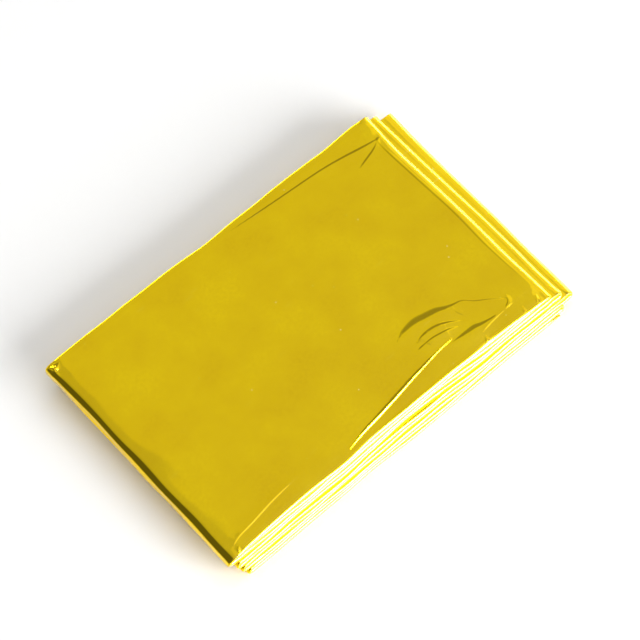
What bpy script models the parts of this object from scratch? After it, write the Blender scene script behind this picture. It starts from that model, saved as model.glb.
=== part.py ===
"""Emergency foil blanket, folded flat.

A single rectangle of thin metallised film is folded lengthways into a narrow strip of plies.
The strip is then folded back and forth into a flat pack of nine panels, one on another.
The solid is that strip, as one sheet of the thickness of its plies, in its folded section.
The strip starts with an end tucked under the top panel, rolls over the left end of the pack
and then runs back and forth down to the bottom panel, which lies flat.

X runs along the panels, Y across them from the front edge to the back edge, and Z is up.
"""

import math

import bmesh
import bpy

MM = 0.001

# Driving dimensions, in millimetres
SHEET = 1.25  # the plies of the strip, pressed together
GAP_RIM = 0.32  # between two panels at the rim of the pack
GAP_MIDDLE = 0.44  # between two panels in the middle, where trapped air lifts them
HALF_LENGTH = 62.5  # from the middle of the top panel to its ends
PANEL_COUNT = 9

# How finely the folds are drawn
PANEL_STEPS = 6
TURN_STEPS = 6
ROLL_STEPS = 4  # in each of the two rounded corners of the roll-over
STATIONS = (-1.0, -0.85, -0.6, -0.3, 0.0, 0.3, 0.6, 0.85, 1.0)  # front edge to back edge

# Across the pack: one row for each panel, counted from the top.
# front_left and front_right are how far its front edge is from the middle line at its two ends,
# front_bow is how far that edge is drawn in halfway along, and back is its back edge.
EDGE_COLUMNS = ("front_left", "front_right", "front_bow", "back")
EDGES = {
    1: (39.3, 39.3, 1.7, 39.3),
    2: (39.6, 39.8, 1.4, 39.0),
    3: (40.0, 40.5, 1.0, 38.9),
    4: (40.4, 41.0, 0.9, 38.6),
    5: (40.9, 41.8, 0.5, 38.0),
    6: (41.4, 42.2, 0.6, 37.7),
    7: (41.8, 42.4, 0.2, 37.8),
    8: (42.2, 42.9, 0.4, 37.4),
    9: (42.4, 43.3, 0.2, 37.0),
}

# Along the pack: one row for each turn or free end, in the order in which the strip runs.
# start and finish are the panels that it joins, and finish is 0 at a free end.
# The reach is how far the outside of the fold is from the middle, at the back edge, halfway
# across and at the front edge. corner is its bending radius at the back and front edges, as a
# share of half its height: under 1 the fold has an upright face between two rounded corners.
FOLD_COLUMNS = (
    "side", "start", "finish", "reach_back", "reach_middle", "reach_front", "corner_back", "corner_front",
)
LEFT = -1
RIGHT = 1
FOLDS = (
    (LEFT, 2, 0, 59.8, 60.4, 59.5, 1.0, 1.0),
    (RIGHT, 2, 1, 63.6, 62.8, 63.6, 1.0, 1.0),
    (LEFT, 1, 3, 63.6, 63.9, 64.6, 0.5, 0.95),
    (RIGHT, 3, 4, 67.4, 67.8, 67.9, 1.0, 1.0),
    (LEFT, 4, 5, 62.3, 62.5, 62.2, 1.0, 1.0),
    (RIGHT, 5, 6, 73.2, 72.6, 72.2, 1.0, 1.0),
    (LEFT, 6, 7, 61.4, 61.0, 60.6, 1.0, 1.0),
    (RIGHT, 7, 8, 69.4, 69.0, 68.4, 1.0, 1.0),
    (LEFT, 8, 9, 59.6, 59.4, 58.9, 1.0, 1.0),
    (RIGHT, 9, 0, 66.4, 66.9, 66.6, 1.0, 1.0),
)

FOIL_COLOUR = (0.69, 0.50, 0.02, 1.0)
FOIL_ROUGHNESS = 0.22


def clear_scene():
    for item in list(bpy.data.objects):
        bpy.data.objects.remove(item, do_unlink=True)


def foil_material():
    material = bpy.data.materials.new("gold_foil")
    material.use_nodes = True
    shader = material.node_tree.nodes["Principled BSDF"]
    shader.inputs["Base Color"].default_value = FOIL_COLOUR
    shader.inputs["Metallic"].default_value = 1.0
    shader.inputs["Roughness"].default_value = FOIL_ROUGHNESS
    return material


def fold_rows():
    return [dict(zip(FOLD_COLUMNS, row)) for row in FOLDS]


def through_three(back, middle, front, across):
    """The curve through three values: across is -1 at the front edge, 0 halfway and 1 at the back."""
    slope = (back - front) / 2
    bend = (back + front) / 2 - middle
    return middle + slope * across + bend * across * across


def gap_at(x, across):
    """The gap between two panels: widest in the middle of the pack and least at its rim."""
    along_share = max(0.0, 1 - (x / HALF_LENGTH) ** 4)
    across_share = 1 - across**4
    return GAP_RIM + (GAP_MIDDLE - GAP_RIM) * along_share * across_share


def height_of(panel, x, across):
    """The middle of a panel's thickness above the surface that the pack lies on."""
    panels_below = PANEL_COUNT - panel
    return SHEET / 2 + panels_below * (SHEET + gap_at(x, across))


def edge_at(panel, x, across):
    """Y of a point that is some way across a panel. panel may lie between two rows of EDGES."""
    above = min(int(panel), PANEL_COUNT - 1)
    share = panel - above
    blend = [a + (b - a) * share for a, b in zip(EDGES[above], EDGES[above + 1])]
    row = dict(zip(EDGE_COLUMNS, blend))
    along = max(-1.0, min(1.0, x / HALF_LENGTH))
    front = row["front_left"] + (row["front_right"] - row["front_left"]) * (along + 1) / 2
    front -= row["front_bow"] * (1 - along * along)
    return -front + (row["back"] + front) * (across + 1) / 2


def fold_shape(row, across):
    """Where a fold starts at this place across the pack: (x, lower z, upper z, corner radius)."""
    reach = through_three(row["reach_back"], row["reach_middle"], row["reach_front"], across)
    if row["finish"] == 0:
        return row["side"] * reach, None, None, 0.0
    corner_share = through_three(
        row["corner_back"], (row["corner_back"] + row["corner_front"]) / 2, row["corner_front"], across
    )
    rough_x = row["side"] * reach
    upper, lower = sorted((row["start"], row["finish"]))
    half_height = (height_of(upper, rough_x, across) - height_of(lower, rough_x, across)) / 2
    radius = half_height * corner_share
    x = row["side"] * (reach - SHEET / 2 - radius)
    return x, height_of(lower, x, across), height_of(upper, x, across), radius


def fold_angles(row):
    """Angles round the outside of a fold, each with the side of its upright face: -1 is below it."""
    if row["corner_back"] == 1.0 and row["corner_front"] == 1.0:
        steps = [math.pi * (step / TURN_STEPS - 0.5) for step in range(1, TURN_STEPS)]
        return [(angle, math.sin(angle)) for angle in steps]
    quarter = [math.pi / 2 * step / ROLL_STEPS for step in range(ROLL_STEPS)]
    lower = [(-angle, -1) for angle in reversed(quarter)]
    upper = [(angle, 1) for angle in quarter]
    return lower + upper


def fold_points(row, across):
    """Points of the sheet's middle round a fold, from its start panel to its finish panel."""
    x, low, high, radius = fold_shape(row, across)
    middle = (low + high) / 2
    upright = (high - low) / 2 - radius
    points = []
    for angle, face in fold_angles(row):
        out = (row["side"] * math.cos(angle), math.sin(angle))
        z = middle + radius * math.sin(angle) + upright * face
        share_down = (high - z) / (high - low)
        upper, lower = sorted((row["start"], row["finish"]))
        panel = upper + (lower - upper) * share_down
        points.append((x + radius * out[0], z, panel, out))
    goes_up = row["finish"] < row["start"]
    if not goes_up:
        points.reverse()
    turn = -row["side"] if goes_up else row["side"]
    return [(x, z, panel, (turn * out[0], turn * out[1])) for x, z, panel, out in points]


def panel_points(before, after, across):
    """Points along one panel, from the fold before it to the fold after it."""
    panel = after["start"]
    first = fold_shape(before, across)[0]
    last = fold_shape(after, across)[0]
    points = []
    for step in range(PANEL_STEPS + 1):
        x = first + (last - first) * step / PANEL_STEPS
        points.append((x, height_of(panel, x, across), panel, (0.0, float(after["side"]))))
    return points


def strip_points(across):
    """The middle line of the whole strip at one place across it: (x, z, panel, left-hand normal)."""
    folds = fold_rows()
    points = []
    for before, after in zip(folds, folds[1:]):
        points += panel_points(before, after, across)
        if after["finish"]:
            points += fold_points(after, across)
    return points


def station_outline(across):
    """The closed outline of the folded sheet at one place across it: one side, then the other back."""
    left_side = []
    right_side = []
    for x, z, panel, normal in strip_points(across):
        y = edge_at(panel, x, across)
        half = SHEET / 2
        left_side.append((x + normal[0] * half, y, z + normal[1] * half))
        right_side.append((x - normal[0] * half, y, z - normal[1] * half))
    return left_side + right_side[::-1]


def centred(outlines):
    """Moves the outlines so that the middle of their box is over the origin. The base stays at 0."""
    points = [point for outline in outlines for point in outline]
    middle_x = (min(p[0] for p in points) + max(p[0] for p in points)) / 2
    middle_y = (min(p[1] for p in points) + max(p[1] for p in points)) / 2
    return [[(x - middle_x, y - middle_y, z) for x, y, z in outline] for outline in outlines]


def folded_sheet(name, material):
    """Skins the sheet from station to station across the pack and closes its two long edges."""
    outlines = centred([station_outline(across) for across in STATIONS])
    sheet = bmesh.new()
    rings = [[sheet.verts.new([value * MM for value in point]) for point in ring] for ring in outlines]
    count = len(rings[0])
    for ring, following in zip(rings, rings[1:]):
        for here in range(count):
            there = (here + 1) % count
            sheet.faces.new((ring[here], ring[there], following[there], following[here]))
    for ring in (rings[0], rings[-1]):
        for here in range(count // 2 - 1):
            opposite = count - 1 - here
            sheet.faces.new((ring[here], ring[here + 1], ring[opposite - 1], ring[opposite]))
    bmesh.ops.recalc_face_normals(sheet, faces=sheet.faces)
    mesh = bpy.data.meshes.new(name)
    sheet.to_mesh(mesh)
    sheet.free()
    mesh.shade_smooth()
    mesh.set_sharp_from_angle(angle=math.radians(40))
    mesh.materials.append(material)
    blanket = bpy.data.objects.new(name, mesh)
    bpy.context.scene.collection.objects.link(blanket)
    return blanket


clear_scene()
folded_sheet("foil_blanket", foil_material())
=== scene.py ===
# %% [markdown]
# # Emergency foil blanket, folded flat
#
# The real blanket is one rectangle of polyester film, thinner than a hair, with aluminium
# deposited on it and a gold tint over that. A machine folds it lengthways into a narrow strip
# of plies, and folds the strip back and forth into a flat pack that fits in a pocket.
# The model is made in the same order: a flat film first, and then the folds. That way the
# film is one unbroken sheet, every turn of it joins the next, and a pattern on the film runs
# through the folds as it does on the real one.

import math

import bmesh
import bpy
import numpy as np
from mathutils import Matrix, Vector, noise


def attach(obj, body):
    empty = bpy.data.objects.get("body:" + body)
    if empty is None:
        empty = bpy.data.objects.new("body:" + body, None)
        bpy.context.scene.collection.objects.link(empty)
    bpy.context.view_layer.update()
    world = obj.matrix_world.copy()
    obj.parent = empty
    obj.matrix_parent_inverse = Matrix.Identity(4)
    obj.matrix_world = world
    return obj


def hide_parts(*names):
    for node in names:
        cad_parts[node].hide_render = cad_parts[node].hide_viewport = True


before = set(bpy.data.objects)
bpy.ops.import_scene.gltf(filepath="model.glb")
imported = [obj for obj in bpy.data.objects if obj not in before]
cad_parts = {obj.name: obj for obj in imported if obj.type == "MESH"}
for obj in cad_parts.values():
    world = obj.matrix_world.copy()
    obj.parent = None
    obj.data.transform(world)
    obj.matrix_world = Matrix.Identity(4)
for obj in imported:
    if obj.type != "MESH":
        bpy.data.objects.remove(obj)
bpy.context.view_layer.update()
MM = 0.001

# %% [markdown]
# ## Camera
#
# The pack lies on a table and is seen from above one of its corners, through a long lens, so
# its far edge looks almost as long as its near one. The place and the turn are stated outright,
# because aiming a camera at a target leaves its roll to chance.

# %% Camera
CAMERA_PLACE = (-0.30798, -0.22893, 0.78979)
CAMERA_TURN_DEG = (25.9634, -5.0181, -43.2528)
LENS_MM = 168.75
SENSOR_MM = 36.0

camera_data = bpy.data.cameras.new("table_camera")
camera_data.lens = LENS_MM
camera_data.sensor_width = SENSOR_MM
camera = bpy.data.objects.new("table_camera", camera_data)
camera.location = CAMERA_PLACE
camera.rotation_euler = [math.radians(angle) for angle in CAMERA_TURN_DEG]
bpy.context.scene.collection.objects.link(camera)
bpy.context.scene.camera = camera
print("camera height over the table, m:", CAMERA_PLACE[2])

# %% [markdown]
# ## Helpers for materials
#
# Colours are picked as sRGB hex values, as in any paint program, while the shader works in
# linear light, so one function converts them. A second one adds a node with its settings and
# its links in a single call, which keeps each material readable as a list of nodes.


# %% One function for colours and one for nodes
def linear(hex_colour):
    """An sRGB hex colour, such as 'F7D20A', as linear RGBA."""
    parts = [int(hex_colour[place : place + 2], 16) / 255 for place in (0, 2, 4)]
    return [p / 12.92 if p <= 0.04045 else ((p + 0.055) / 1.055) ** 2.4 for p in parts] + [1.0]


def add_node(tree, kind, values=(), links=(), **settings):
    """Adds a node. values are (socket, value) pairs and links are (socket, other output) pairs."""
    node = tree.nodes.new(kind)
    for name, setting in settings.items():
        setattr(node, name, setting)
    for socket, value in values:
        node.inputs[socket].default_value = value
    for socket, output in links:
        tree.links.new(output, node.inputs[socket])
    return node


def new_material(name):
    """An empty node material and its output node."""
    material = bpy.data.materials.new(name)
    material.use_nodes = True
    material.node_tree.nodes.clear()
    output = material.node_tree.nodes.new("ShaderNodeOutputMaterial")
    return material, output


print("middle grey in linear light:", round(linear("808080")[0], 3))


# %% [markdown]
# ## Table top
#
# A plain white laminate board. It only has to be pale and even, since the gold film mirrors it
# along its lower edges. A plane is enough, and its slight roughness blurs any reflection.

# %% Table top
BOARD_SIZE = 8.0
bpy.ops.object.select_all(action="DESELECT")
bpy.ops.mesh.primitive_plane_add(size=BOARD_SIZE, location=(0, 0, 0))
board = bpy.context.object
board.name = "table_board"

# Melamine laminate: an off-white satin plastic skin.
laminate, output = new_material("white_laminate")
tree = laminate.node_tree
board_shader = add_node(
    tree,
    "ShaderNodeBsdfPrincipled",
    values=[("Base Color", linear("F6F6F5")), ("Roughness", 0.35), ("Specular IOR Level", 0.5)],
)
tree.links.new(board_shader.outputs["BSDF"], output.inputs["Surface"])
board.data.materials.append(laminate)
print("table top, m:", BOARD_SIZE, "by", BOARD_SIZE)

# %% [markdown]
# ## Studio light
#
# A mirror-like film shows nothing but its surroundings, so the lights are placed by what each
# part of the pack mirrors. The flat top sees large, dim panels overhead, which overlap where it
# should look a little brighter. The long front side sees a strong key light in front, and the
# right end a softer panel. The white table is no mirror, and lights that suit the film would
# burn it out, so nearly every light serves either the film or the table.
# A panel's brightness is stated as what a mirror would show, and its power follows from it.

# %% Soft lights
FILM = "film"  # mirrored by the film, and no light on the table
TABLE = "table"  # light on the table, not mirrored
BOTH = "both"
LIGHT_COLUMNS = ("name", "place", "aim", "width", "height", "brightness", "serves")
LIGHTS = (
    ("overhead_panel", (0.55, 0.115, 1.50), (0.55, 0.115, 0.0), 1.80, 1.25, 0.255, FILM),
    ("overhead_middle", (0.90, 0.115, 1.49), (0.90, 0.115, 0.0), 1.20, 1.25, 0.135, FILM),
    ("overhead_right", (1.20, 0.05, 1.48), (1.20, 0.05, 0.0), 0.50, 1.10, 0.235, FILM),
    ("overhead_edge", (0.55, -0.35, 1.46), (0.55, -0.35, 0.0), 1.80, 0.32, 0.50, FILM),
    ("overhead_back", (0.55, 0.81, 1.50), (0.55, 0.81, 0.0), 1.80, 0.14, 0.12, FILM),
    ("front_high", (0.62, -0.69, 1.38), (0.0, 0.0, 0.0), 0.45, 0.42, 14.0, FILM),
    ("front_strip", (0.60, -1.32, 0.72), (0.0, 0.0, 0.0), 0.58, 1.36, 300.0, FILM),
    ("right_panel", (1.48, 0.25, 0.80), (0.0, 0.0, 0.0), 1.00, 0.95, 0.65, BOTH),
    ("right_strip", (1.58, 0.36, 0.42), (0.0, 0.0, 0.0), 0.60, 0.14, 90.0, FILM),
    ("back_glow", (0.75, 1.85, 0.95), (0.0, 0.0, 0.0), 0.80, 0.62, 6.0, FILM),
    ("table_overhead", (0.75, 0.115, 1.50), (0.75, 0.115, 0.0), 1.50, 1.25, 0.62, TABLE),
    ("table_key", (0.30, -1.46, 0.80), (0.0, 0.0, 0.0), 1.60, 1.00, 7.4, TABLE),
    ("table_fill", (-0.15, 0.1, 1.30), (0.0, 0.0, 0.0), 2.20, 2.20, 1.32, TABLE),
)
for row in LIGHTS:
    lamp = dict(zip(LIGHT_COLUMNS, row))
    light = bpy.data.lights.new(lamp["name"], "AREA")
    light.shape = "RECTANGLE"
    light.size = lamp["width"]
    light.size_y = lamp["height"]
    light.energy = lamp["brightness"] * math.pi * lamp["width"] * lamp["height"]
    stand = bpy.data.objects.new(lamp["name"], light)
    stand.visible_glossy = lamp["serves"] != TABLE
    stand.visible_diffuse = lamp["serves"] != FILM
    stand.location = lamp["place"]
    aim = Vector(lamp["aim"]) - Vector(lamp["place"])
    stand.rotation_euler = aim.to_track_quat("-Z", "Y").to_euler()
    bpy.context.scene.collection.objects.link(stand)
    print(lamp["name"], "power, W:", round(light.energy, 1))

# %% [markdown]
# ## Room
#
# Between the lights the film mirrors the room. It has pale walls and a dimmer ceiling, and a
# black flag hangs high on the left, as in a studio, so that the rolled left end and the dents
# have something dark to mirror. A world shader gives all three without modelling a room. It is
# kept from lighting the table, whose shade is set by its own lights.

# %% The room round the table
WALLS = 0.80  # brightness of the pale walls, up to where the ceiling begins
CEILING = 0.36
WALLS_END = (0.50, 0.62)  # sines of the heights between which the walls give way to the ceiling
FLAG_DIRECTION = (-0.524, 0.267, 0.809)  # a black flag hangs high on the left
# The flag starts 38 degrees from its middle, and is at its darkest from 16 degrees on.
FLAG_EDGE = (math.cos(math.radians(38)), math.cos(math.radians(16)))
FLAG_LEAVES = 0.36  # the share of the room's light that is left in front of it

room = bpy.data.worlds.new("studio_room")
room.use_nodes = True
tree = room.node_tree
direction = add_node(tree, "ShaderNodeTexCoord").outputs["Generated"]
height = add_node(tree, "ShaderNodeSeparateXYZ", links=[("Vector", direction)])
walls = add_node(
    tree,
    "ShaderNodeMapRange",
    [("From Min", WALLS_END[0]), ("From Max", WALLS_END[1]), ("To Min", WALLS), ("To Max", CEILING)],
    [("Value", height.outputs["Z"])],
    interpolation_type="SMOOTHSTEP",
)
towards_flag = add_node(
    tree, "ShaderNodeVectorMath", [(1, FLAG_DIRECTION)], [(0, direction)], operation="DOT_PRODUCT"
)
flag = add_node(
    tree,
    "ShaderNodeMapRange",
    [("From Min", FLAG_EDGE[0]), ("From Max", FLAG_EDGE[1]), ("To Min", 1.0), ("To Max", FLAG_LEAVES)],
    [("Value", towards_flag.outputs["Value"])],
)
room_light = add_node(
    tree,
    "ShaderNodeMath",
    links=[(0, walls.outputs["Result"]), (1, flag.outputs["Result"])],
    operation="MULTIPLY",
)
background = tree.nodes["Background"]
background.inputs["Color"].default_value = linear("F4F4F4")
tree.links.new(room_light.outputs["Value"], background.inputs["Strength"])
bpy.context.scene.world = room
room.cycles_visibility.diffuse = False
print("walls and ceiling, as a mirror shows them:", WALLS, CEILING)

# The plain view clips each colour by itself, so strong glints on gold turn yellow, then white.
bpy.context.scene.view_settings.view_transform = "Standard"

# %% [markdown]
# ## How the strip runs
#
# The strip of plies makes nine panels. It starts with an end tucked under the top panel, turns
# up at the right to become the top, rolls over the left end down to the third panel, and then
# zigzags to the bottom. Two short tables hold this: one row for each panel's edges and one row
# for each turn. All their lengths are in millimetres from the middle of the top panel.

# %% Sizes and tables of the folds
SHEET = 1.25  # the plies of the strip, pressed together
GAP_RIM = 0.32  # between two panels at the rim of the pack
GAP_MIDDLE = 0.38  # between two panels in the middle, where trapped air lifts them
HALF_LENGTH = 62.5
PANEL_COUNT = 9
PACK_MIDDLE = (4.3, -2.0)  # the middle of the whole pack's box

EDGE_COLUMNS = ("front_left", "front_right", "front_bow", "back")
EDGES = {
    1: (39.8, 39.9, 1.2, 39.3),
    2: (39.9, 40.1, 1.1, 39.0),
    3: (40.1, 40.5, 0.9, 38.9),
    4: (40.4, 41.0, 0.9, 38.6),
    5: (40.9, 41.8, 0.5, 38.0),
    6: (41.4, 42.2, 0.6, 37.7),
    7: (41.8, 42.4, 0.2, 37.8),
    8: (42.2, 42.9, 0.4, 37.4),
    9: (42.4, 43.3, 0.2, 37.0),
}

# A reach is the outside of a turn at the back edge, halfway and at the front edge. A corner
# under 1 leaves an upright face between two rounded corners. finish is 0 at a free end.
LEFT = -1
RIGHT = 1
TURN_COLUMNS = (
    "side", "start", "finish",
    "reach_back", "reach_middle", "reach_front", "corner_back", "corner_front",
)
TURN_ROWS = (
    (LEFT, 2, 0, 59.8, 60.4, 59.5, 1.0, 1.0),
    (RIGHT, 2, 1, 63.6, 62.8, 63.6, 1.0, 1.0),
    (LEFT, 1, 3, 63.9, 64.2, 64.9, 0.56, 0.95),
    (RIGHT, 3, 4, 67.4, 67.8, 67.9, 1.0, 1.0),
    (LEFT, 4, 5, 62.3, 62.5, 62.2, 1.0, 1.0),
    (RIGHT, 5, 6, 73.2, 72.6, 72.2, 1.0, 1.0),
    (LEFT, 6, 7, 61.4, 61.0, 60.6, 1.0, 1.0),
    (RIGHT, 7, 8, 69.4, 69.0, 68.4, 1.0, 1.0),
    (LEFT, 8, 9, 59.6, 59.4, 58.9, 1.0, 1.0),
    (RIGHT, 9, 0, 66.4, 66.9, 66.6, 1.0, 1.0),
)
TURNS = [dict(zip(TURN_COLUMNS, row)) for row in TURN_ROWS]
print("turns and free ends:", len(TURNS))

# %% [markdown]
# ## The middle line of the strip
#
# Everything here is worked out for whole arrays of points at once, which takes a moment even
# for a fine mesh. across says how far a point is over the width of the strip: -1 at the front
# edge and 1 at the back edge. First come the heights and edges of the panels, then the shape
# of one turn, and then a function that finds any point of the strip from how far along it is.


# %% Heights and edges of the panels
def through_three(back, middle, front, across):
    """The curve through three values, at the front edge, halfway and at the back edge."""
    slope = (back - front) / 2
    bend = (back + front) / 2 - middle
    return middle + slope * across + bend * across**2


def height_of(panel, x, across):
    """The middle of a panel's thickness above the table."""
    swell = np.maximum(0.0, 1 - (x / HALF_LENGTH) ** 2) * (1 - np.clip(across, -1, 1) ** 2)
    gap = GAP_RIM + (GAP_MIDDLE - GAP_RIM) * swell
    return SHEET / 2 + (PANEL_COUNT - panel) * (SHEET + gap)


def edge_y(panel, x, across):
    """Y of a point some way across a panel. panel may lie between two rows of the table."""
    columns = dict(zip(EDGE_COLUMNS, zip(*EDGES.values())))
    row = {name: np.interp(panel, list(EDGES), values) for name, values in columns.items()}
    along = np.clip(x / HALF_LENGTH, -1, 1)
    front = row["front_left"] + (row["front_right"] - row["front_left"]) * (along + 1) / 2
    front = front - row["front_bow"] * (1 - along**2)
    return -front + (row["back"] + front) * (across + 1) / 2


def turn_shape(turn, across):
    """Where a turn starts: its x, the heights of its lower and upper panel, and its radius."""
    reach = through_three(turn["reach_back"], turn["reach_middle"], turn["reach_front"], across)
    outside = turn["side"] * reach
    if turn["finish"] == 0:
        return outside, 0.0, 0.0, 0.0
    upper, lower = sorted((turn["start"], turn["finish"]))
    corner = (turn["corner_back"] + turn["corner_front"]) / 2
    corner = corner + (turn["corner_back"] - turn["corner_front"]) / 2 * across
    radius = (height_of(upper, outside, across) - height_of(lower, outside, across)) / 2 * corner
    x = turn["side"] * (reach - SHEET / 2 - radius)
    return x, height_of(lower, x, across), height_of(upper, x, across), radius


def list_runs():
    """Panels and turns in the strip's own order, each with where it starts along the strip."""
    runs = []
    start = 0.0
    for before, after in zip(TURNS, TURNS[1:]):
        length = abs(turn_shape(after, 0.0)[0] - turn_shape(before, 0.0)[0])
        panel = {"turn": None, "before": before, "after": after, "start": start, "length": length}
        runs.append(panel)
        start += length
        if after["finish"]:
            _, low, high, radius = turn_shape(after, 0.0)
            length = math.pi * radius + (high - low - 2 * radius)
            runs.append({"turn": after, "start": start, "length": length})
            start += length
    return runs


RUNS = list_runs()
STRIP_LENGTH = RUNS[-1]["start"] + RUNS[-1]["length"]
print("strip length, mm:", round(STRIP_LENGTH, 1))


# %% [markdown]
# ## A point anywhere along the strip
#
# A place on the strip is either on a panel or round a turn. The roll-over at the left is not quite
# round, as a pressed roll never is: it has two flatter spots. A flat spot is the chord of its
# stretch of the circle, and a blur rounds its edges.

# %% A point anywhere along the strip
ROUNDING = 1e-4  # mm, for places that fall just outside a stretch
PLY_PITCH = 0.415  # between two plies of the strip as modelled


def on_panel(run, share, across):
    """Points on the middle of a panel: x, z, panel, and the normal's x and z."""
    first = turn_shape(run["before"], across)[0]
    last = turn_shape(run["after"], across)[0]
    x = first + (last - first) * share
    panel = np.full_like(x, run["after"]["start"])
    up = np.full_like(x, float(run["after"]["side"]))
    return x, height_of(panel, x, across), panel, np.zeros_like(x), up


FLAT_SPOTS = ((60.0, 28.0), (6.0, 26.0))  # middle and half width in degrees
SPOT_SOFTNESS = 4.0  # degrees over which a flat spot's edges are rounded
BLUR_DEGREES = 12  # how far to each side the blur looks


def flattening(angle):
    """How far the film round the roll-over is pressed in at this angle, as a share of its radius."""
    degrees = np.arange(-90.0, 91.0)
    pressed = np.zeros_like(degrees)
    for middle, half in FLAT_SPOTS:
        inside = np.abs(degrees - middle) <= half
        chord = math.cos(math.radians(half)) / np.cos(np.radians(degrees - middle))
        pressed[inside] = 1 - chord[inside]
    blur = np.exp(-((np.arange(-BLUR_DEGREES, BLUR_DEGREES + 1) / SPOT_SOFTNESS) ** 2))
    pressed = np.convolve(pressed, blur / blur.sum(), mode="same")
    return np.interp(np.degrees(angle), degrees, pressed)


def on_turn(turn, share, across):
    """Points round a turn: two rounded corners with an upright face between them, or none."""
    x, low, high, radius = turn_shape(turn, across)
    goes_up = turn["finish"] < turn["start"]
    climbed = share if goes_up else 1 - share
    upright = (high - low) / 2 - radius
    quarter = math.pi / 2 * radius
    walked = climbed * (2 * quarter + 2 * upright)
    lower_angle = np.minimum(walked / radius - math.pi / 2, 0.0)
    upper_angle = np.maximum((walked - quarter - 2 * upright) / radius, 0.0)
    angle = lower_angle + upper_angle
    risen = np.clip(walked - quarter, 0.0, 2 * upright) - upright
    z = (low + high) / 2 + radius * np.sin(angle) + risen
    upper, lower = sorted((turn["start"], turn["finish"]))
    panel = upper + (lower - upper) * (high - z) / (high - low)
    facing = -turn["side"] if goes_up else turn["side"]
    out_x, out_z = turn["side"] * np.cos(angle), np.sin(angle)
    if turn["corner_back"] < 1:
        pressed = (radius + 1.5 * PLY_PITCH) * flattening(angle)
        x, z = x - pressed * out_x, z - pressed * out_z
    return x + radius * out_x, z, panel, facing * out_x, facing * out_z


def on_strip(along, across):
    """x, z, panel and normal of the strip's middle, for arrays of places on it."""
    found = np.zeros((5, len(along)))
    along = np.clip(along, 0.0, STRIP_LENGTH)
    for run in RUNS:
        here = (along >= run["start"] - ROUNDING) & (along <= run["start"] + run["length"] + ROUNDING)
        share = np.clip((along[here] - run["start"]) / run["length"], 0, 1)
        if run["turn"]:
            found[:, here] = on_turn(run["turn"], share, across[here])
        else:
            found[:, here] = on_panel(run, share, across[here])
    return found


halfway = on_strip(np.array([STRIP_LENGTH / 2]), np.zeros(1))
print("halfway along the strip, x and z in mm:", halfway[:2, 0].round(1))

# %% [markdown]
# ## How the film runs across the strip
#
# The film is halved lengthways, and halved again, so the strip has four plies here. The real
# one has twenty, far too thin to tell apart. Halving leaves one round outer roll with a smaller
# one inside it along the front, and one roll with two free edges at the back. The
# cross-section is a short list of stretches: flat plies, and the rolls that join them.

# %% The plies and the rolls between them
STRIP_WIDTH = 79.5
INNER_RADIUS = PLY_PITCH / 2  # the small roll inside the front edge
INNER_ROLL_INSET = 0.64
FRONT_RADIUS = 1.5 * PLY_PITCH
BACK_RADIUS = 0.56  # the roll along the back edge is nearly as thick as the strip
TOP_LEVEL = 1.5 * PLY_PITCH
UNDER_ROLL = TOP_LEVEL - 2 * BACK_RADIUS
BACK_PINCH = 7.0  # over this stretch before the back edge the lower plies come together
EDGE_STEP = 0.15  # the two free edges stop short of the back by one and two such steps
EDGE_GAP = 0.08  # and lie lower than the ply over them by one and two such gaps

# level and back_level are a stretch's height at the front and at the back edge.
STRETCH_COLUMNS = ("kind", "begin", "end", "level", "back_level", "radius")
STRETCH_ROWS = (
    ("ply", STRIP_WIDTH - EDGE_STEP, INNER_ROLL_INSET, -0.5 * PLY_PITCH, UNDER_ROLL - EDGE_GAP, 0.0),
    ("front_roll_up", INNER_ROLL_INSET, INNER_ROLL_INSET, 0.0, 0.0, INNER_RADIUS),
    ("ply", INNER_ROLL_INSET, STRIP_WIDTH - BACK_RADIUS, 0.5 * PLY_PITCH, UNDER_ROLL, 0.0),
    ("back_roll_up", STRIP_WIDTH - BACK_RADIUS, STRIP_WIDTH - BACK_RADIUS, TOP_LEVEL - BACK_RADIUS,
     TOP_LEVEL - BACK_RADIUS, BACK_RADIUS),
    ("ply", STRIP_WIDTH - BACK_RADIUS, FRONT_RADIUS, TOP_LEVEL, TOP_LEVEL, 0.0),
    ("front_roll_down", FRONT_RADIUS, FRONT_RADIUS, 0.0, 0.0, FRONT_RADIUS),
    ("ply", FRONT_RADIUS, STRIP_WIDTH - 2 * EDGE_STEP, -TOP_LEVEL, UNDER_ROLL - 2 * EDGE_GAP, 0.0),
)


def list_stretches():
    """The stretches of the cross-section, each with its length and where it starts."""
    stretches = []
    start = 0.0
    for values in STRETCH_ROWS:
        stretch = dict(zip(STRETCH_COLUMNS, values))
        flat = abs(stretch["end"] - stretch["begin"])
        stretch.update(start=start, length=flat + math.pi * stretch["radius"])
        stretches.append(stretch)
        start += stretch["length"]
    return stretches


STRETCHES = list_stretches()
FILM_WIDTH = STRETCHES[-1]["start"] + STRETCHES[-1]["length"]
TOP_PLY = 4  # the stretch that is the top of the pack
print("film as modelled, mm:", round(FILM_WIDTH, 1), "by", round(STRIP_LENGTH, 1))


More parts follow.
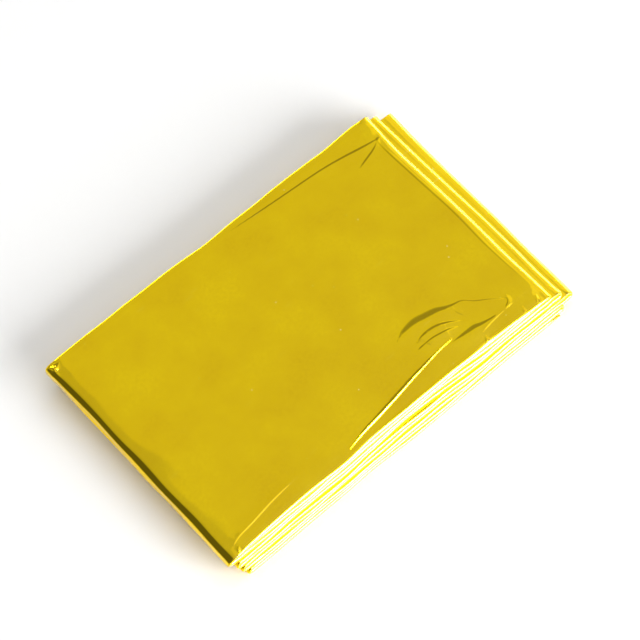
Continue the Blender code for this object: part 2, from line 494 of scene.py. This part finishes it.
def on_section(width):
    """Places over the film's width: distance from the front edge, level, how far each faces up."""
    found = np.zeros((3, len(width)))
    width = np.clip(width, 0.0, FILM_WIDTH)
    for number, stretch in enumerate(STRETCHES):
        last = stretch["start"] + stretch["length"]
        here = (width >= stretch["start"] - ROUNDING) & (width <= last + ROUNDING)
        share = np.clip((width[here] - stretch["start"]) / stretch["length"], 0, 1)
        if stretch["kind"] == "ply":
            inset = stretch["begin"] + (stretch["end"] - stretch["begin"]) * share
            pinch = np.clip((inset - STRIP_WIDTH + BACK_PINCH) / (BACK_PINCH - BACK_RADIUS), 0, 1)
            pinch = pinch * pinch * (3 - 2 * pinch)
            ply_level = stretch["level"] + (stretch["back_level"] - stretch["level"]) * pinch
            found[:, here] = inset, ply_level, np.full_like(inset, float(number == TOP_PLY))
            continue
        angle = math.pi * (share - 0.5)
        if stretch["kind"].endswith("down"):
            angle = -angle
        outward = 1 if stretch["kind"].startswith("back") else -1
        inset = stretch["begin"] + outward * stretch["radius"] * np.cos(angle)
        level = stretch["level"] + stretch["radius"] * np.sin(angle)
        beside_top = abs(number - TOP_PLY) == 1
        found[:, here] = inset, level, np.maximum(0, np.sin(angle)) * float(beside_top)
    return found


# %% [markdown]
# ## Creases and dents in the top ply
#
# The top of the pack is not quite flat. It has a few sharp creases near its edges, a leaf of
# short dents pressed in near the front right corner, and small wrinkles at its corners. Each
# one is a line over the panel with one steep face and one gentle one. The steep face looks
# either to the left or to the right of the line, and its width changes along the line, so a
# crease can start as a hair, open to a soft dent and close again.

# %% Table of the creases
LOOKS_LEFT = 1
LOOKS_RIGHT = -1
CREASE_COLUMNS = ("name", "steep_face", "slope", "gentle_width", "points")  # point: x, y, width
CREASE_ROWS = (
    ("front_left_line", LOOKS_RIGHT, 0.26, 1.0, (
        (-60.4, -36.4, 0.10), (-56.8, -35.4, 0.30), (-51.5, -34.9, 0.40), (-43.7, -33.8, 0.44),
        (-36.8, -33.2, 0.34), (-31.0, -32.9, 0.05))),
    ("front_middle_line", LOOKS_RIGHT, 0.80, 0.6, (
        (-15.2, -36.5, 0.06), (-8.5, -35.4, 0.20), (-1.1, -34.6, 0.24), (5.3, -33.8, 0.24),
        (11.7, -32.9, 0.22), (18.2, -32.1, 0.18), (24.7, -31.3, 0.12), (30.3, -31.0, 0.05))),
    ("front_right_line", LOOKS_RIGHT, 0.30, 0.6, (
        (39.0, -35.2, 0.05), (42.5, -34.7, 0.18), (46.8, -34.4, 0.24), (52.0, -34.2, 0.16),
        (57.0, -34.2, 0.20), (60.5, -34.6, 0.05))),
    ("front_groove", LOOKS_LEFT, 0.26, 1.2, (
        (-20.0, -37.5, 0.05), (-10.0, -37.3, 0.25), (2.0, -37.4, 0.35), (13.5, -37.3, 0.40),
        (28.0, -37.6, 0.40), (36.9, -37.6, 0.30), (44.5, -38.0, 0.40), (53.0, -38.4, 0.10))),
    ("back_line", LOOKS_LEFT, 0.20, 1.2, (
        (3.7, 36.9, 0.05), (22.0, 35.6, 0.18), (39.5, 34.4, 0.28), (46.9, 33.5, 0.34),
        (54.1, 32.2, 0.42), (59.8, 31.3, 0.20))),
    ("back_corner_line", LOOKS_LEFT, 0.22, 1.4, (
        (48.5, 27.2, 0.05), (51.7, 28.1, 0.30), (56.7, 29.5, 0.34), (60.2, 31.2, 0.10))),
    ("right_line", LOOKS_RIGHT, 0.36, 1.9, (
        (59.5, 31.2, 0.12), (59.3, 25.5, 0.40), (59.5, 16.5, 0.46), (59.7, 7.5, 0.46),
        (59.8, -2.4, 0.44), (59.5, -13.3, 0.38), (59.7, -20.7, 0.28), (60.0, -27.4, 0.18),
        (60.2, -32.7, 0.05))),
    ("leaf_rim", LOOKS_LEFT, 0.20, 4.4, (
        (18.5, -20.9, 0.30), (21.0, -20.1, 1.20), (25.5, -19.8, 1.80), (29.4, -20.5, 1.90),
        (33.2, -21.3, 1.70), (35.4, -22.2, 1.35), (37.2, -22.8, 0.95), (38.8, -23.2, 0.60),
        (41.5, -24.0, 0.42), (44.2, -26.5, 0.50), (47.7, -28.8, 0.40), (50.3, -30.8, 0.30),
        (51.6, -31.7, 0.05))),
    ("leaf_tip", LOOKS_RIGHT, 0.40, 0.8, (
        (51.2, -30.8, 0.05), (52.1, -31.9, 0.26), (51.4, -33.1, 0.30), (49.6, -33.9, 0.05))),
    ("leaf_branch", LOOKS_RIGHT, 0.34, 1.6, (
        (37.3, -24.2, 0.05), (37.8, -26.2, 0.30), (39.0, -28.4, 0.05))),
    ("upper_dent", LOOKS_LEFT, 0.33, 4.2, (
        (22.0, -25.2, 0.15), (24.0, -24.7, 0.55), (26.6, -24.6, 0.85), (29.6, -25.0, 0.95),
        (32.1, -25.8, 0.75), (34.4, -26.9, 0.40), (37.0, -28.5, 0.05))),
    ("lower_dent", LOOKS_LEFT, 0.36, 4.2, (
        (20.5, -27.2, 0.15), (22.2, -27.0, 0.40), (26.1, -27.1, 0.60), (29.7, -27.7, 0.62),
        (32.2, -28.2, 0.42), (35.0, -29.2, 0.05))),
    ("front_dent", LOOKS_LEFT, 0.27, 3.8, (
        (27.6, -31.8, 0.05), (29.4, -31.9, 0.35), (32.0, -31.9, 0.60), (35.0, -32.2, 0.95),
        (38.2, -32.5, 1.20), (40.3, -33.1, 1.00), (42.9, -33.5, 0.50), (46.0, -33.9, 0.05))),
    ("front_wrinkle", LOOKS_LEFT, 0.30, 0.6, (
        (37.0, -38.9, 0.05), (37.9, -37.7, 0.50), (38.7, -36.3, 0.05))),
    ("right_wrinkle", LOOKS_RIGHT, 0.30, 0.6, (
        (53.0, -39.6, 0.05), (53.7, -38.3, 0.40), (53.9, -36.8, 0.05))),
    ("corner_wrinkle", LOOKS_RIGHT, 0.35, 0.7, (
        (58.2, -39.6, 0.05), (59.3, -38.2, 0.50), (59.9, -36.4, 0.05))),
    ("near_corner_wrinkle", LOOKS_RIGHT, 0.35, 0.6, (
        (-60.1, -39.0, 0.05), (-59.4, -38.1, 0.45), (-58.7, -37.3, 0.05))),
    ("left_corner_tab", LOOKS_RIGHT, 0.42, 0.9, (
        (-62.9, 38.3, 0.05), (-62.3, 37.2, 0.55), (-61.2, 36.6, 0.60), (-59.7, 37.6, 0.05))),
)
CREASES = [dict(zip(CREASE_COLUMNS, row)) for row in CREASE_ROWS]
print("creases:", ", ".join(crease["name"] for crease in CREASES))


# %% [markdown]
# ## Height that a crease adds
#
# The height depends on how far a point is from the crease's line, and on how wide the crease is
# there: it falls off as a bell curve, quickly on the steep side and slowly on the gentle one.
# A rounded line is first drawn through the table's points, because a crease in film bends
# without corners.

# %% Height that a crease adds
STEEPEST = 0.858  # the steepest slope of exp(-t * t)
STEEPEST_AT = 0.7  # and where that is
NARROWEST = 0.05  # mm, so that a crease's width is never nothing


def smooth_line(points, steps=8):
    """A rounded line through the points, as a finer list of points (a Catmull-Rom curve)."""
    knots = np.array([points[0], *points, points[-1]], float)
    line = []
    for before, here, there, after in zip(knots, knots[1:], knots[2:], knots[3:]):
        for share in np.arange(steps) / steps:
            line.append(
                0.5 * (2 * here + (there - before) * share
                + (2 * before - 5 * here + 4 * there - after) * share**2
                + (3 * here - before - 3 * there + after) * share**3)
            )
    return np.array([*line, points[-1]], float)


def nearest_on_line(x, y, line):
    """Distance to the line, positive on its left, and the width that the line has there."""
    best = np.full(len(x), np.inf)
    signed = np.zeros(len(x))
    width = np.zeros(len(x))
    for start, end in zip(line, line[1:]):
        step = (end - start)[:2]
        length = float(np.hypot(*step))
        if length == 0:
            continue
        share = np.clip(((x - start[0]) * step[0] + (y - start[1]) * step[1]) / length**2, 0, 1)
        gap_x, gap_y = x - start[0] - step[0] * share, y - start[1] - step[1] * share
        distance = np.hypot(gap_x, gap_y)
        closer = distance < best
        best[closer] = distance[closer]
        side = np.where(step[0] * gap_y - step[1] * gap_x > 0, 1.0, -1.0)
        signed[closer] = (side * distance)[closer]
        width[closer] = (start[2] + share * (end[2] - start[2]))[closer]
    return signed, np.maximum(width, NARROWEST)


def crease_height(x, y, crease):
    """Height of one crease over the top panel. Its line runs along the middle of its steep face."""
    distance, width = nearest_on_line(x, y, smooth_line(crease["points"]))
    from_crest = crease["steep_face"] * distance / width + STEEPEST_AT
    widest = max(place[2] for place in crease["points"])
    gentle_width = crease["gentle_width"] * np.sqrt(width / widest)
    steep = np.exp(-(from_crest**2))
    gentle = np.exp(-((from_crest * width / gentle_width) ** 2))
    return crease["slope"] * width / STEEPEST * np.where(from_crest > 0, steep, gentle)


tallest = max(max(place[2] for place in crease["points"]) * crease["slope"] for crease in CREASES)
print("tallest crease, mm:", round(tallest / STEEPEST, 2))

# %% [markdown]
# ## Flat film
#
# A grid is added and its rows are moved to where folds will need them: close together in the
# turns and rolls, and further apart where the film stays flat.

# %% Rows of the grid
PANEL_CELLS = 48
TURN_CELLS = 10
ROLL_CELLS = 8
TOP_CELLS = 20
HIDDEN_CELLS = 9
BESIDE_ROLLS = (0.15, 0.5)  # mm, two more rows of the top ply that keep its rim flat


def rows_along():
    """Places of the grid's rows along the strip."""
    places = [0.0]
    for run in RUNS:
        cells = TURN_CELLS if run["turn"] else PANEL_CELLS
        places += [run["start"] + run["length"] * step / cells for step in range(1, cells + 1)]
    return np.array(places)


def rows_across():
    """Places of the grid's rows over the film's width. Flat plies have closer rows near their ends."""
    places = [0.0]
    for number, stretch in enumerate(STRETCHES):
        if stretch["kind"] != "ply":
            cells = ROLL_CELLS
            shares = np.arange(1, cells + 1) / cells
        else:
            cells = TOP_CELLS if number == TOP_PLY else HIDDEN_CELLS
            even = np.arange(1, cells + 1) / cells
            shares = (1 - np.cos(math.pi * even)) / 2
            if number == TOP_PLY:
                beside = np.array(BESIDE_ROLLS) / stretch["length"]
                shares = np.sort(np.concatenate([even, beside, 1 - beside]))
        places += list(stretch["start"] + stretch["length"] * shares)
    return np.array(places)


ALONG = rows_along()
ACROSS = rows_across()
bpy.ops.object.select_all(action="DESELECT")
cells_along, cells_across = len(ALONG) - 1, len(ACROSS) - 1
bpy.ops.mesh.primitive_grid_add(x_subdivisions=cells_along, y_subdivisions=cells_across, size=1)
film = bpy.context.object
film.name = "foil_film"
mesh = film.data
places = np.empty(len(mesh.vertices) * 3)
mesh.vertices.foreach_get("co", places)
places = places.reshape(-1, 3)
column = np.rint((places[:, 0] + 0.5) * cells_along).astype(int)
row = np.rint((places[:, 1] + 0.5) * cells_across).astype(int)
flat = np.stack([ALONG[column], ACROSS[row], np.zeros(len(row))], axis=1)
mesh.vertices.foreach_set("co", flat.ravel())
mesh.update()
print("flat film:", len(ALONG), "by", len(ACROSS), "rows")


# %% [markdown]
# ## Where the folds put a point
#
# One function takes any point of the flat film into the folded pack: over the strip's section,
# then along the strip. No two folds of a real pack end at quite the same place, so the edges
# stand in and out by a few tenths of a millimetre, each panel in its own way. A few sine waves
# of uneven length do this, and round a turn they go smoothly from one panel's to the next's.

# %% Where the folds put a point of the flat film
WAVE_WEIGHTS = (0.6, 0.3, 0.2)  # one for each sine wave
WAVE_STEP = 0.83  # each wave is this much faster than the one before, in turns of the first
SEED_TURNS = (12.9, 7.7)  # radians for each seed, and more for each wave


def wander(place, seed, wavelength):
    """A smooth, uneven value from about -1 to 1."""
    total = np.zeros_like(place, dtype=float)
    for wave, weight in enumerate(WAVE_WEIGHTS):
        turn = 2 * math.pi * place * (1 + WAVE_STEP * wave) / wavelength
        total = total + weight * np.sin(turn + seed * (SEED_TURNS[0] + SEED_TURNS[1] * wave))
    return total


def panel_wander(place, panel, wavelength, shift=0.0):
    """wander() with its own run for each panel, blended between two panels in a turn."""
    upper = np.floor(panel)
    share = panel - upper
    first = wander(place, upper + shift, wavelength)
    second = wander(place, upper + 1 + shift, wavelength)
    return first * (1 - share) + second * share


FRONT_UNEVEN = 0.32  # how far the rolls along the front stand in or out
BACK_UNEVEN = 0.28
END_UNEVEN = 0.25
FRONT_WAVE = 70  # from one bulge of an edge to the next
BACK_WAVE = 90
END_WAVE = 60
BACK_SHIFT = 30  # seeds of their own for the back edge and the ends
END_SHIFT = 60
EDGE_REACH = 3.5  # how far in from an edge its unevenness fades
END_FROM = 57.0  # where the unevenness of the two ends starts
END_RAMP = 4.0
LAST_END_LENGTH = 3.0  # the open end on the table is pressed shut over this length
LAST_END_LEAVES = 0.15  # the share of its thickness that is left
TOP_PANEL_ENDS = 1.999  # a panel number from here on is below the top panel


def plain_fold(flat):
    """Pack coordinates for points of the flat film, neatly folded. Also how far each is the top."""
    along, width = flat[:, 0], flat[:, 1]
    inset, level, faces_up = on_section(width)
    across = -1 + 2 * inset / STRIP_WIDTH
    x, z, panel, normal_x, normal_z = on_strip(along, across)
    shut = np.clip((along - STRIP_LENGTH) / LAST_END_LENGTH + 1, 0, 1) ** 2
    level = level + (normal_z * TOP_LEVEL - level) * shut * (1 - LAST_END_LEAVES)
    y = edge_y(panel, x, across)
    front = np.exp(-inset / EDGE_REACH)
    back = np.exp(-(STRIP_WIDTH - inset) / EDGE_REACH)
    y = y + front * FRONT_UNEVEN * panel_wander(x, panel, FRONT_WAVE)
    y = y + back * BACK_UNEVEN * panel_wander(x, panel, BACK_WAVE, BACK_SHIFT)
    end = np.clip((np.abs(x) - END_FROM) / END_RAMP, 0, 1)
    x = x + np.sign(x) * end * END_UNEVEN * panel_wander(y, panel, END_WAVE, END_SHIFT)
    point = np.stack([x - normal_x * level, y, z - normal_z * level], axis=1)
    top = faces_up * np.maximum(0, -normal_z) * (panel < TOP_PANEL_ENDS)
    rim = np.maximum(np.maximum(front, back), end)
    return point, top, rim, panel


print("unevenness of front, back and ends, mm:", FRONT_UNEVEN, BACK_UNEVEN, END_UNEVEN)

# %% [markdown]
# ## Sag, squeeze and drift
#
# A real pack is not pressed evenly. Its top sags a little towards the left end and the front,
# its panels are squeezed together where they stick out at the right, and every edge drifts by
# a few tenths of a millimetre. All of this moves places in space and not plies, so plies that
# lie close together move together and don't cross.

# %% Sag, squeeze and drift
# A sag starts at one place, grows over a length, and stops at a share a little over 1 of it.
LEFT_SAG_FROM = -52.0
LEFT_SAG_LENGTH = 10.0
LEFT_SAG_STOP = 1.05
LEFT_SAG = 0.10
LEFT_DROP = 0.045  # a second sag, only at the very edge
LEFT_DROP_POWER = 9
FRONT_SAG_FROM = -32.5
FRONT_SAG_LENGTH = 6.0
FRONT_SAG_STOP = 1.1
FRONT_SAG = 0.30
RIGHT_SAG_FROM = 60.2
RIGHT_SAG_LENGTH = 3.0
RIGHT_SAG_STOP = 1.2
RIGHT_SAG = 0.18
FIRM_PANEL = 3  # from this panel down nothing sags
SQUEEZE_FROM = 58.0
SQUEEZE_LENGTH = 15.0
SQUEEZE_STOP = 1.2
SQUEEZE_SHARE = 0.16

# Drift is smooth noise. Waves and amounts are in mm along x, y and z.
WIDE_WAVES = (30, 30, 9)
WIDE_DRIFT = (0.25, 0.35, 0.09)
EDGE_WAVES = (12, 12, 3.2)
EDGE_DRIFT = (0.30, 0.42, 0.08)
WIDE_START, EDGE_START = 3.1, 8.7  # each reads the noise from a place of its own
FREE_HEIGHT = 3  # mm over the table, from where the film is quite free to drift
NOISE_SEED = 11  # without a seed the noise starts from the clock, and no two runs are alike
noise.seed_set(NOISE_SEED)


def sag(x, y):
    """How far the top of the pack sags at a place."""
    left = np.clip((LEFT_SAG_FROM - x) / LEFT_SAG_LENGTH, 0, LEFT_SAG_STOP)
    front = np.clip((FRONT_SAG_FROM - y) / FRONT_SAG_LENGTH, 0, FRONT_SAG_STOP)
    right = np.clip((x - RIGHT_SAG_FROM) / RIGHT_SAG_LENGTH, 0, RIGHT_SAG_STOP)
    at_left = LEFT_SAG * left**2 + LEFT_DROP * left**LEFT_DROP_POWER
    return at_left + FRONT_SAG * front**2 + RIGHT_SAG * right**2


def noise_at(point, waves, start):
    """Smooth noise as a vector for each point. waves are its wavelengths along x, y and z."""
    places = point / np.array(waves) + start
    return np.array([noise.noise_vector(Vector(place)) for place in places])


def settle(point, rim, panel):
    """Takes neatly folded points to where the soft, uneven pack really holds them."""
    x, y, z = point.T.copy()
    upper_share = np.clip((FIRM_PANEL - panel) / (FIRM_PANEL - 1), 0, 1)
    lowered = z - sag(x, y) * upper_share
    squeeze = np.clip((x - SQUEEZE_FROM) / SQUEEZE_LENGTH, 0, SQUEEZE_STOP)
    lowered = lowered * (1 - SQUEEZE_SHARE * squeeze**2)
    off_table = np.clip(z / FREE_HEIGHT, 0, 1)[:, None]
    settled = np.stack([x, y, lowered], axis=1)
    wide = noise_at(point, WIDE_WAVES, WIDE_START) * WIDE_DRIFT
    edge = noise_at(point, EDGE_WAVES, EDGE_START) * EDGE_DRIFT
    return settled + off_table * (wide + edge * rim[:, None])


print("sag at the near corner, mm:", round(float(sag(-HALF_LENGTH, -STRIP_WIDTH / 2)), 2))

# %% [markdown]
# ## Crumpled corners
#
# Corners are where film is handled and where it creases in all directions at once. Each one
# gets a short-waved noise that is strongest in its middle and fades within a few millimetres.

# %% Crumpled corners
CRUMPLE_REACH = 2.5  # in radii, past which next to nothing of a crumple is left
CRUMPLE_START = 21.3
CRUMPLE_COLUMNS = ("name", "place", "radius", "amount", "wavelength")
CRUMPLE_ROWS = (
    ("front_right_corner", (61.0, -38.5), 5.0, 0.26, 3.2),
    ("near_corner", (-62.0, -39.0), 4.0, 0.20, 2.8),
    ("left_corner", (-62.5, 37.5), 3.5, 0.28, 2.6),
    ("far_corner", (62.0, 38.0), 3.5, 0.25, 2.8),
    ("far_right_foot", (67.0, -40.0), 5.0, 0.30, 3.0),
)
CRUMPLES = [dict(zip(CRUMPLE_COLUMNS, row)) for row in CRUMPLE_ROWS]


def crumple(point):
    """Small, sharp unevenness round the corners, where the film is creased in all directions."""
    moved = point.copy()
    for spot in CRUMPLES:
        away = np.hypot(point[:, 0] - spot["place"][0], point[:, 1] - spot["place"][1])
        near = np.flatnonzero(away < CRUMPLE_REACH * spot["radius"])
        off_table = np.clip(point[near, 2] / FREE_HEIGHT, 0, 1)
        share = np.exp(-((away[near] / spot["radius"]) ** 2)) * off_table
        waves = (spot["wavelength"],) * 3
        rough = noise_at(point[near], waves, CRUMPLE_START)
        moved[near] += rough * (spot["amount"] * share)[:, None]
    return moved


def fold(flat):
    """Where points of the flat film end up, how far each is the top ply, and its neat place."""
    point, top, rim, panel = plain_fold(flat)
    return crumple(settle(point, rim, panel)), top, point


print("crumpled corners:", ", ".join(spot["name"] for spot in CRUMPLES))


# %% [markdown]
# ## Finer faces on the top
#
# A mirror shows every facet, and a sharp crease needs faces smaller than itself, while hidden
# plies need none. So only the top and the roll-over are subdivided while the film is still flat,
# and then three times more near the creases, each time round fewer of them.

# %% Finer faces on the top
TOP_CUTS = 3
STEEP_REACH = 1.5  # in widths of the crease, how far its steep face goes
# A round takes faces this far past a steep face, of creases at most so wide and at least so steep.
FINER_COLUMNS = ("margin", "widest", "least_slope")
FINER_ROWS = ((0.6, 10.0, 0.0), (0.35, 0.8, 0.0), (0.4, 0.8, 0.5))


def pick_faces(edit, chosen):
    """Selects the faces that chosen() says yes to, given their middles on the flat film."""
    middles = np.array([face.calc_center_median() for face in edit.faces])
    keep = chosen(middles)
    for face, wanted in zip(edit.faces, keep):
        face.select_set(bool(wanted))
    return int(keep.sum())


TOP_RUN = next(run for run in RUNS if not run["turn"] and run["after"]["start"] == 1)
ROLL_RUN = next(run for run in RUNS if run["turn"] and run["turn"]["finish"] == 3)


def in_top(middles):
    """Faces of the ply that shows, over the top panel and round the roll-over."""
    along, width = middles[:, 0], middles[:, 1]
    stretch = STRETCHES[TOP_PLY]
    inside_ply = (width > stretch["start"]) & (width < stretch["start"] + stretch["length"])
    end = ROLL_RUN["start"] + ROLL_RUN["length"]
    return inside_ply & (along > TOP_RUN["start"]) & (along < end)


def near_crease(middles, margin, widest, least_slope):
    """Faces next to the steep face of a crease, where it is narrow enough and steep enough."""
    keep = np.flatnonzero(in_top(middles))
    point = plain_fold(middles[keep])[0]
    close = np.zeros(len(middles), bool)
    for crease in CREASES:
        if crease["slope"] >= least_slope:
            gap, width = nearest_on_line(point[:, 0], point[:, 1], smooth_line(crease["points"]))
            close[keep[(np.abs(gap) < STEEP_REACH * width + margin) & (width < widest)]] = True
    return close


def subdivide_where(chosen, cuts):
    """Subdivides the picked faces of the flat film in edit mode."""
    bpy.ops.object.mode_set(mode="EDIT")
    bpy.ops.mesh.select_mode(type="FACE")
    bpy.ops.mesh.select_all(action="DESELECT")
    edit = bmesh.from_edit_mesh(film.data)
    count = pick_faces(edit, chosen)
    bmesh.update_edit_mesh(film.data)
    bpy.ops.mesh.subdivide(number_cuts=cuts)
    bpy.ops.object.mode_set(mode="OBJECT")
    print("subdivided", count, "faces; the film now has", len(film.data.polygons))


subdivide_where(in_top, TOP_CUTS)
for values in FINER_ROWS:
    finer = dict(zip(FINER_COLUMNS, values))
    subdivide_where(lambda middles: near_crease(middles, **finer), 1)

# %% [markdown]
# ## Folding
#
# The flat coordinates are kept as the film's UV map first, so that the grain of the film
# follows it through every fold. Then each point goes to its place, and the top ply takes its
# creases.

# %% Keep the flat film as the UV map, then fold it
mesh = film.data
flat = np.empty(len(mesh.vertices) * 3)
mesh.vertices.foreach_get("co", flat)
flat = flat.reshape(-1, 3)
corner_vertex = np.empty(len(mesh.loops), int)
mesh.loops.foreach_get("vertex_index", corner_vertex)
mesh.uv_layers[0].name = "flat_film"
mesh.uv_layers[0].data.foreach_set("uv", (flat[corner_vertex, :2] / STRIP_LENGTH).ravel())

point, top, neat = fold(flat)
for crease in CREASES:
    point[:, 2] += top**2 * crease_height(neat[:, 0], neat[:, 1], crease)
place = (point - np.array([*PACK_MIDDLE, 0.0])) * MM
mesh.vertices.foreach_set("co", place.ravel())
mesh.update()
mesh.shade_smooth()
print("triangles:", sum(len(face.vertices) - 2 for face in mesh.polygons))
print("folded pack, mm:", (place.max(axis=0) / MM - place.min(axis=0) / MM).round(1))

# %% [markdown]
# ## Gold film
#
# Metallised polyester film: the metal gives a mirror, the gold lacquer tints it, and the clear
# polyester over it adds a white glint like a thin, faintly hazy varnish. Up close the mirror is
# not perfect. The lacquer is a little thicker in some places, the film is slightly wavy, and
# handling leaves hairlines and a few specks. All of these are drawn on the flat film's UV map,
# so they run round the folds with it, and their sizes are given in real millimetres.

# %% Gold metallised film
CLOUD_MM = 17.0  # patches of thicker lacquer
GRAIN_MM = 1.1  # the fine mottle of the coating, drawn coarser than the real 0.1 mm
SPECK_MM = 6.5  # from one speck to the next
SPECK_RADIUS = 0.035  # as a share of that distance
HAIRLINE_MM = (9.0, 0.42)  # length and width, drawn wider than the real 0.05 mm
RIPPLE_MM = 2.6  # waves in the film
RIPPLE_HEIGHT = 0.000004  # metres
CLOUD_RANGE = (0.32, 0.68)  # noise values between which a pattern goes from none to full
GRAIN_RANGE = (0.30, 0.70)
GRAIN_SHARE = 0.6
HAIRLINE_RANGE = (0.82, 0.95)
HAIRLINE_SHARE = 0.5
HAIRLINE_TURN = 0.6  # radians from the length of the strip
MARK_SHARE = 0.55  # how far a speck or hairline hides the gold
MARK_ROUGHNESS = 0.12  # added to the film's own
HAZE_RANGE = (0.3, 0.7)
HAZE_ROUGHNESS = (0.055, 0.085)


def repeats(size):
    """Texture scale at which a pattern on the film's UV map is this many millimetres long."""
    return STRIP_LENGTH / size


gold_film, output = new_material("metallised_gold_film")
tree = gold_film.node_tree
film_uv = add_node(tree, "ShaderNodeUVMap", uv_map="flat_film").outputs["UV"]
clouds = add_node(
    tree, "ShaderNodeTexNoise", [("Scale", repeats(CLOUD_MM)), ("Detail", 3.0)], [("Vector", film_uv)]
)
grain = add_node(
    tree, "ShaderNodeTexNoise", [("Scale", repeats(GRAIN_MM)), ("Detail", 2.0)], [("Vector", film_uv)]
)
cloud_share = add_node(
    tree,
    "ShaderNodeMapRange",
    [("From Min", CLOUD_RANGE[0]), ("From Max", CLOUD_RANGE[1])],
    [("Value", clouds.outputs["Fac"])],
)
grain_share = add_node(
    tree,
    "ShaderNodeMapRange",
    [("From Min", GRAIN_RANGE[0]), ("From Max", GRAIN_RANGE[1]), ("To Max", GRAIN_SHARE)],
    [("Value", grain.outputs["Fac"])],
)
lacquer = add_node(
    tree,
    "ShaderNodeMix",
    [(6, linear("F0C900")), (7, linear("FBD800"))],
    [(0, cloud_share.outputs["Result"])],
    data_type="RGBA",
)
mottle = add_node(
    tree,
    "ShaderNodeMix",
    [(7, linear("F5D000"))],
    [(0, grain_share.outputs["Result"]), (6, lacquer.outputs[2])],
    data_type="RGBA",
)
specks = add_node(
    tree, "ShaderNodeTexVoronoi", [("Scale", repeats(SPECK_MM))], [("Vector", film_uv)]
)
speck_mask = add_node(
    tree,
    "ShaderNodeMath",
    [(1, SPECK_RADIUS)],
    [(0, specks.outputs["Distance"])],
    operation="LESS_THAN",
)
hairline_scale = (repeats(HAIRLINE_MM[0]), repeats(HAIRLINE_MM[1]), 1.0)
hairline_place = add_node(
    tree,
    "ShaderNodeMapping",
    [("Rotation", (0.0, 0.0, HAIRLINE_TURN)), ("Scale", hairline_scale)],
    [("Vector", film_uv)],
)
hairlines = add_node(
    tree,
    "ShaderNodeTexNoise",
    [("Scale", 1.0), ("Detail", 0.0)],
    [("Vector", hairline_place.outputs["Vector"])],
)
hairline_mask = add_node(
    tree,
    "ShaderNodeMapRange",
    [("From Min", HAIRLINE_RANGE[0]), ("From Max", HAIRLINE_RANGE[1]), ("To Max", HAIRLINE_SHARE)],
    [("Value", hairlines.outputs["Fac"])],
)
marks = add_node(
    tree,
    "ShaderNodeMath",
    links=[(0, speck_mask.outputs["Value"]), (1, hairline_mask.outputs["Result"])],
    operation="MAXIMUM",
)
mark_share = add_node(
    tree, "ShaderNodeMath", [(1, MARK_SHARE)], [(0, marks.outputs["Value"])], operation="MULTIPLY"
)
film_colour = add_node(
    tree,
    "ShaderNodeMix",
    [(7, linear("FFF2A8"))],
    [(0, mark_share.outputs["Value"]), (6, mottle.outputs[2])],
    data_type="RGBA",
)
haze = add_node(
    tree,
    "ShaderNodeMapRange",
    [
        ("From Min", HAZE_RANGE[0]),
        ("From Max", HAZE_RANGE[1]),
        ("To Min", HAZE_ROUGHNESS[0]),
        ("To Max", HAZE_ROUGHNESS[1]),
    ],
    [("Value", clouds.outputs["Fac"])],
)
film_roughness = add_node(
    tree,
    "ShaderNodeMath",
    [(1, MARK_ROUGHNESS)],
    [(0, marks.outputs["Value"]), (2, haze.outputs["Result"])],
    operation="MULTIPLY_ADD",
)
ripple = add_node(
    tree, "ShaderNodeTexNoise", [("Scale", repeats(RIPPLE_MM)), ("Detail", 1.0)], [("Vector", film_uv)]
)
waves = add_node(
    tree,
    "ShaderNodeBump",
    [("Strength", 1.0), ("Distance", RIPPLE_HEIGHT)],
    [("Height", ripple.outputs["Fac"])],
)
film_shader = add_node(
    tree,
    "ShaderNodeBsdfPrincipled",
    [("Metallic", 1.0), ("Coat Weight", 0.18), ("Coat Roughness", 0.28)],
    [
        ("Base Color", film_colour.outputs[2]),
        ("Roughness", film_roughness.outputs["Value"]),
        ("Normal", waves.outputs["Normal"]),
    ],
)
tree.links.new(film_shader.outputs["BSDF"], output.inputs["Surface"])
film.data.materials.clear()
film.data.materials.append(gold_film)
print("clouds and specks along the film:", round(repeats(CLOUD_MM)), round(repeats(SPECK_MM)))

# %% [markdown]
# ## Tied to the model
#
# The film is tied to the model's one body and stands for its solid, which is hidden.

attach(film, "root")
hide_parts("foil_blanket")
